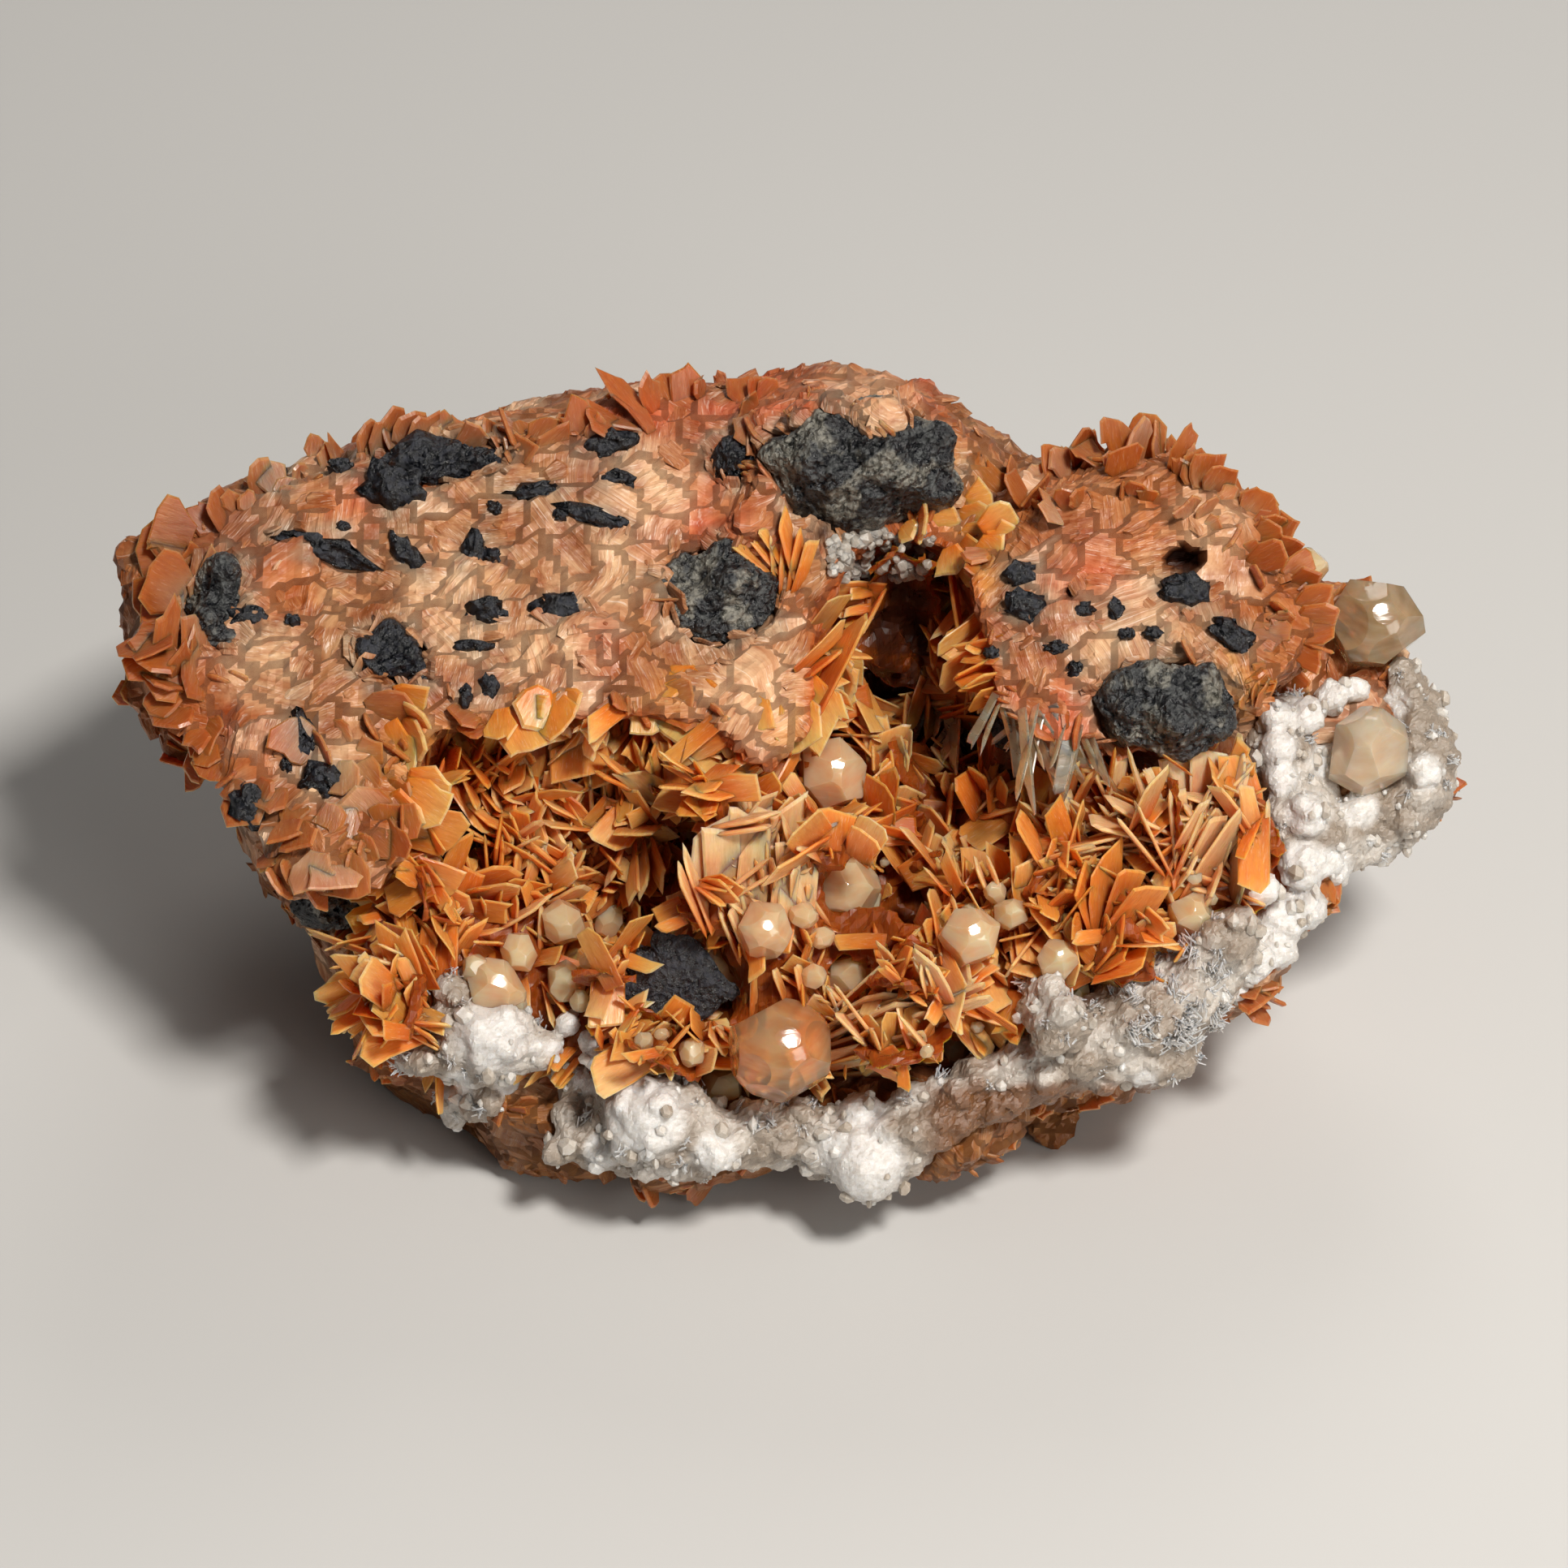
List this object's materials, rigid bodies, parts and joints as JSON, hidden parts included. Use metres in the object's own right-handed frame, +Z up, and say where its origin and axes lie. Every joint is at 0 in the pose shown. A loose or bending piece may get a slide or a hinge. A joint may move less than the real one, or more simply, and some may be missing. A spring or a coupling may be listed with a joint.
{
  "type": "barite with cerussite specimen",
  "caption": "Orange bladed barite specimen: a slab and a lobe overhang a hollow lined with thin blades, with grey galena lumps, honey cerussite crystals and a pale cerussite crust.",
  "frame": {"origin": "in the flat broken underside that the specimen rests on, below its middle", "axes": "+X along the specimen's length, to the right for a viewer in front of the hollow; -Y towards that viewer; +Z up from the resting face"},
  "size_m": [0.0903, 0.0594, 0.0437],
  "materials": {
    "barite_body": "rough",
    "barite_blades": "satin",
    "galena": "satin",
    "cerussite_crystal": "gloss",
    "cerussite_crust": "satin"
  },
  "bodies": {
    "root": {"barite_blades": "barite_blades", "barite_body": "barite_body", "cerussite_crust_left": "cerussite_crust", "cerussite_crust_rim": "cerussite_crust", "cerussite_crust_wing": "cerussite_crust", "cerussite_crystal_01": "cerussite_crystal", "cerussite_crystal_02": "cerussite_crystal", "cerussite_crystal_03": "cerussite_crystal", "cerussite_crystal_04": "cerussite_crystal", "cerussite_crystal_05": "cerussite_crystal", "cerussite_crystal_06": "cerussite_crystal", "cerussite_crystal_07": "cerussite_crystal", "cerussite_crystal_08": "cerussite_crystal", "cerussite_crystal_09": "cerussite_crystal", "cerussite_crystal_10": "cerussite_crystal", "cerussite_crystal_11": "cerussite_crystal", "cerussite_crystal_12": "cerussite_crystal", "cerussite_crystal_13": "cerussite_crystal", "cerussite_crystal_14": "cerussite_crystal", "cerussite_crystal_15": "cerussite_crystal", "galena_corner": "galena", "galena_hollow": "galena", "galena_knob": "galena", "galena_ledge": "galena", "galena_left": "galena", "galena_lobe": "galena", "galena_middle": "galena", "galena_shoulder": "galena", "galena_slab": "galena", "galena_top": "galena"}
  },
  "joints": []
}
